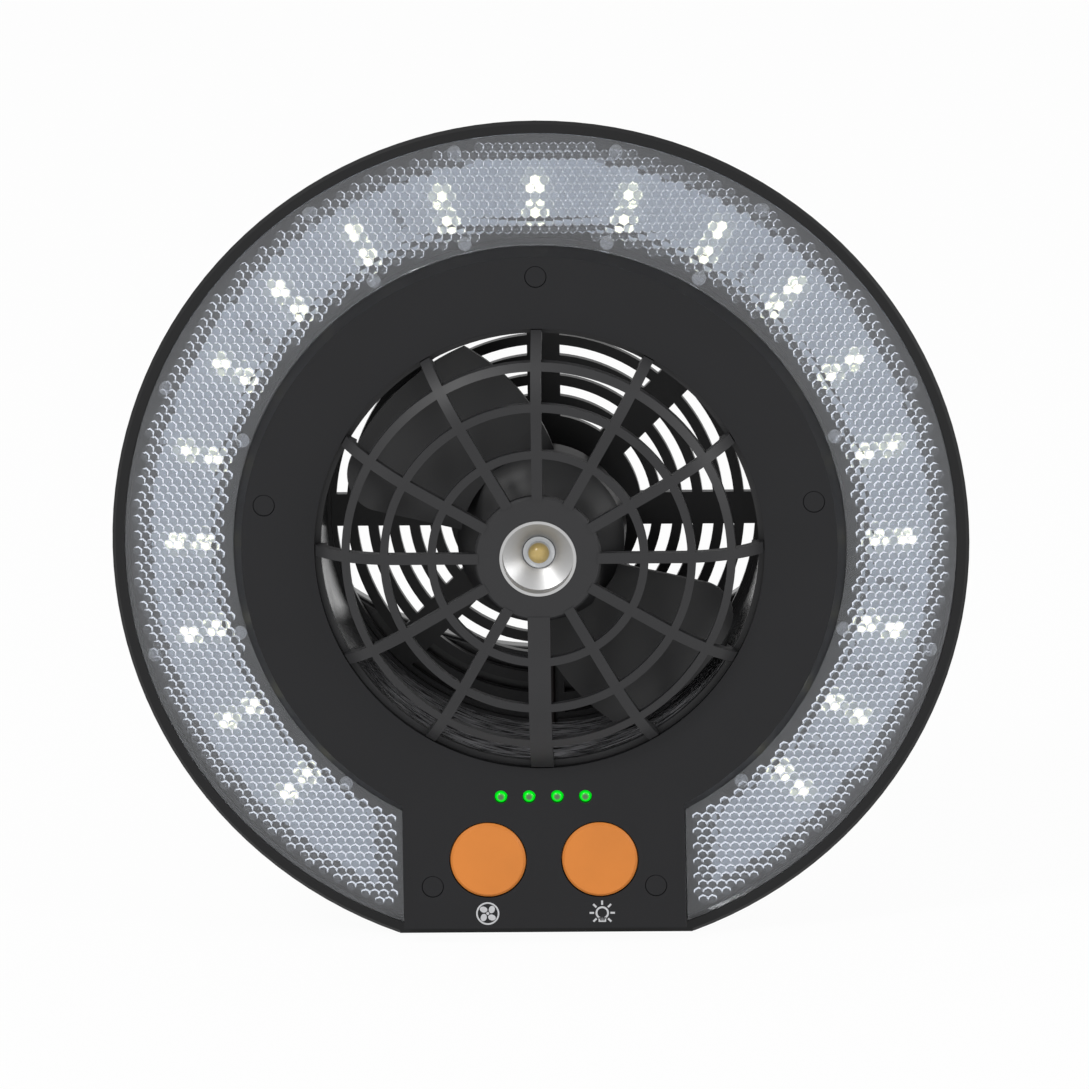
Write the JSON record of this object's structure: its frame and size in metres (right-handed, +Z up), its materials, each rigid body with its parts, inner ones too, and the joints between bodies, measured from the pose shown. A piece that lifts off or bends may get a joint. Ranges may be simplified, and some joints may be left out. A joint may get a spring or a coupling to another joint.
{
  "type": "portable camping fan",
  "caption": "Round free-standing camping fan with a horseshoe ring light, a hub spotlight, push buttons, charge indicators and a folding handle behind.",
  "frame": {"origin": "on the table, in the middle of the base, under the fan axis", "axes": "+X to the right seen from the front, +Y backwards along the fan axis, +Z up"},
  "size_m": [0.21, 0.0683, 0.204],
  "materials": {
    "rim_plastic": "satin black rim",
    "shell_plastic": "fine matt grain",
    "pad_rubber": "matt",
    "panel_plastic": "matt charcoal with fine grain",
    "screw_steel": "zinc plated",
    "plug_plastic": "satin",
    "lens_plastic": "clear moulded lens with hexagonal lenslets",
    "white_board": "white solder mask",
    "ring_led": "white LED package",
    "grille_plastic": "satin black",
    "reflector_metal": "metallised, slightly frosted",
    "spot_bead": "LED bead with yellow phosphor",
    "duct_plastic": "glossy black",
    "rotor_plastic": "semi gloss black",
    "motor_steel": "zinc plated",
    "motor_nylon": "natural nylon",
    "magnet_iron": "sintered",
    "bush_brass": "oiled bronze",
    "armature_iron": "laminations and windings",
    "shaft_steel": "ground",
    "cell_sleeve": "shrink sleeve",
    "tab_nickel": "nickel strip",
    "green_board": "green solder mask",
    "switch_plastic": "moulded",
    "orange_plastic": "satin orange",
    "indicator_led": "diffused green LED",
    "socket_steel": "tin plated",
    "cover_rubber": "soft cover",
    "handle_plastic": "satin black",
    "red_wire": "insulated wire",
    "black_wire": "insulated wire"
  },
  "bodies": {
    "housing": {"front_housing": "rim_plastic", "rear_housing": "shell_plastic", "base_pads": "pad_rubber", "front_panel": "panel_plastic", "panel_screws": "screw_steel", "rear_screws": "screw_steel", "board_screws": "screw_steel", "screw_plugs": "plug_plastic", "light_lens": "lens_plastic", "light_board": "white_board", "ring_leds": "ring_led", "front_grille": "grille_plastic", "spot_reflector": "reflector_metal", "spot_led": "spot_bead", "spot_board": "white_board", "hub_cap": "grille_plastic", "fan_duct": "duct_plastic", "rear_grille": "grille_plastic", "motor_can": "motor_steel", "motor_end_cap": "motor_nylon", "motor_magnets": "magnet_iron", "motor_bushes": "bush_brass", "battery_cells": "cell_sleeve", "battery_saddles": "shell_plastic", "battery_tabs": "tab_nickel", "control_board": "green_board", "tact_switches": "switch_plastic", "indicator_leds": "indicator_led", "power_board": "green_board", "charge_socket": "socket_steel", "port_pin": "shaft_steel", "handle_pins": "handle_plastic", "motor_leads": "red_wire", "spot_leads": "black_wire"},
    "rotor": {"fan_rotor": "rotor_plastic", "motor_shaft": "shaft_steel", "motor_armature": "armature_iron"},
    "fan_key": {"fan_button": "orange_plastic", "fan_plunger": "switch_plastic"},
    "light_key": {"light_button": "orange_plastic", "light_plunger": "switch_plastic"},
    "handle": {"handle_bail": "handle_plastic"},
    "cover": {"port_cover": "cover_rubber"}
  },
  "joints": [
    {"name": "fan_spin", "type": "hinge", "parent": "housing", "child": "rotor", "pos_m": [0, 0, 0.099], "axis": [0, 1, 0], "continuous": true},
    {"name": "fan_button_press", "type": "slide", "parent": "housing", "child": "fan_key", "axis": [0, 1, 0], "range_m": [0, 0.0005], "stiffness_N_per_m": 800, "springref_m": -0.001},
    {"name": "light_button_press", "type": "slide", "parent": "housing", "child": "light_key", "axis": [0, 1, 0], "range_m": [0, 0.0005], "stiffness_N_per_m": 800, "springref_m": -0.001},
    {"name": "handle_swing", "type": "hinge", "parent": "housing", "child": "handle", "pos_m": [0, 0.0249, 0.149], "axis": [1, 0, 0], "range_deg": [0, 180]},
    {"name": "port_cover_swing", "type": "hinge", "parent": "housing", "child": "cover", "pos_m": [0.01, 0.01975, 0.03705], "axis": [1, 0, 0], "range_deg": [0, 100]}
  ]
}
